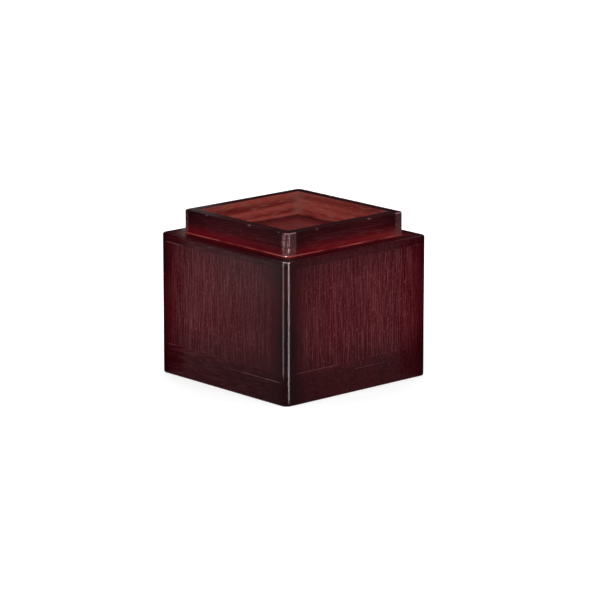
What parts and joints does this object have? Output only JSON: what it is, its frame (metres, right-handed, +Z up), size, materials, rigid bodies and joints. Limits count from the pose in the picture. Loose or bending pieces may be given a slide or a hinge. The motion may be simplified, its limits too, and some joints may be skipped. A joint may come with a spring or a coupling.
{
  "type": "bed riser",
  "caption": "Square wooden bed riser: a block of glued-up boards with a raised rim around a shallow square socket that holds the foot of a furniture leg.",
  "frame": {"origin": "middle of the underside, on the floor", "axes": "+Z up, towards the leg that it carries; +Y along the rim's two long strips"},
  "size_m": [0.105, 0.105, 0.093],
  "materials": {
    "core_wood": "upright grain, red mahogany stain shaded dark towards the edges, semi-gloss lacquer",
    "board_wood": "level grain, red mahogany stain shaded dark towards the edges, semi-gloss lacquer",
    "rim_wood": "grain along each strip, red mahogany stain, dark upper edge, semi-gloss lacquer"
  },
  "bodies": {
    "root": {"base_board": "board_wood", "lower_plate": "board_wood", "core_block": "core_wood", "top_plate": "board_wood", "left_rim_strip": "rim_wood", "right_rim_strip": "rim_wood", "front_rim_strip": "rim_wood", "back_rim_strip": "rim_wood"}
  },
  "joints": []
}
